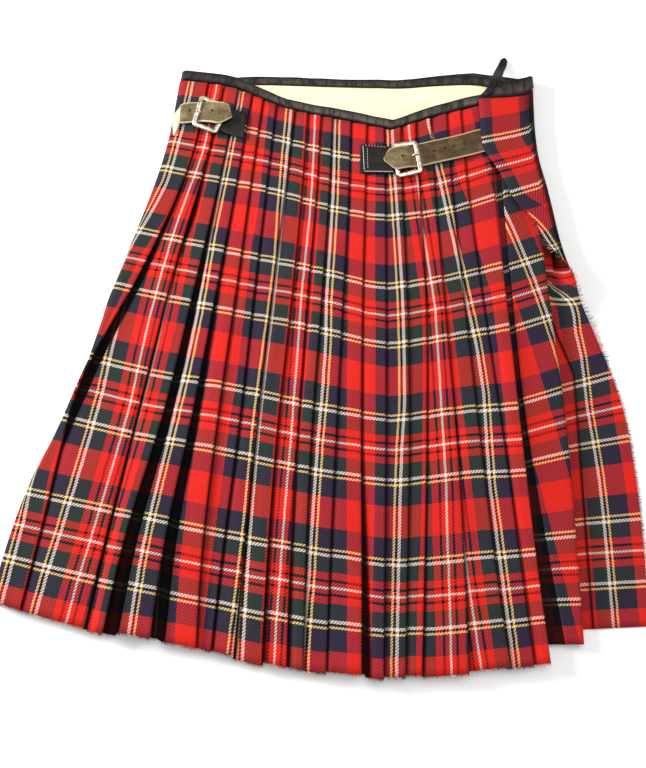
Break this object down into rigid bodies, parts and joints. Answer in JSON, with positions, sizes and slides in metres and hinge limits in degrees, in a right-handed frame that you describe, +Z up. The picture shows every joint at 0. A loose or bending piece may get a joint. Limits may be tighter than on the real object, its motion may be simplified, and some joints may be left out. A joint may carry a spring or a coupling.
{
  "type": "kilt",
  "caption": "Knee-length tartan kilt laid flat with its knife-pleated back up, apron corner wrapped over one hip, with leather straps and buckles at the waist.",
  "frame": {"origin": "centre of the kilt's footprint, on the surface that it lies on", "axes": "+Z up off the table, out of the pleated back; +Y from the hem towards the waist; +X towards the hip with the wrapped apron corner"},
  "size_m": [0.6576, 0.6876, 0.0233],
  "materials": {
    "tartan_worsted": "matte",
    "lining_cotton": "matte",
    "black_binding": "satin",
    "strap_leather": "satin",
    "tab_leather": "satin",
    "nickel": "polished"
  },
  "bodies": {
    "root": {"pleated_back": "tartan_worsted", "under_apron": "tartan_worsted", "over_apron": "tartan_worsted", "fringe": "tartan_worsted", "lining": "lining_cotton", "band_back": "black_binding", "band_front": "black_binding", "band_under": "black_binding", "hanger_loop": "black_binding", "tab_left": "tab_leather", "tab_right": "tab_leather", "strap_left": "strap_leather", "strap_right": "strap_leather", "buckle_left": "nickel", "buckle_right": "nickel", "prong_left": "nickel", "prong_right": "nickel"}
  },
  "joints": []
}
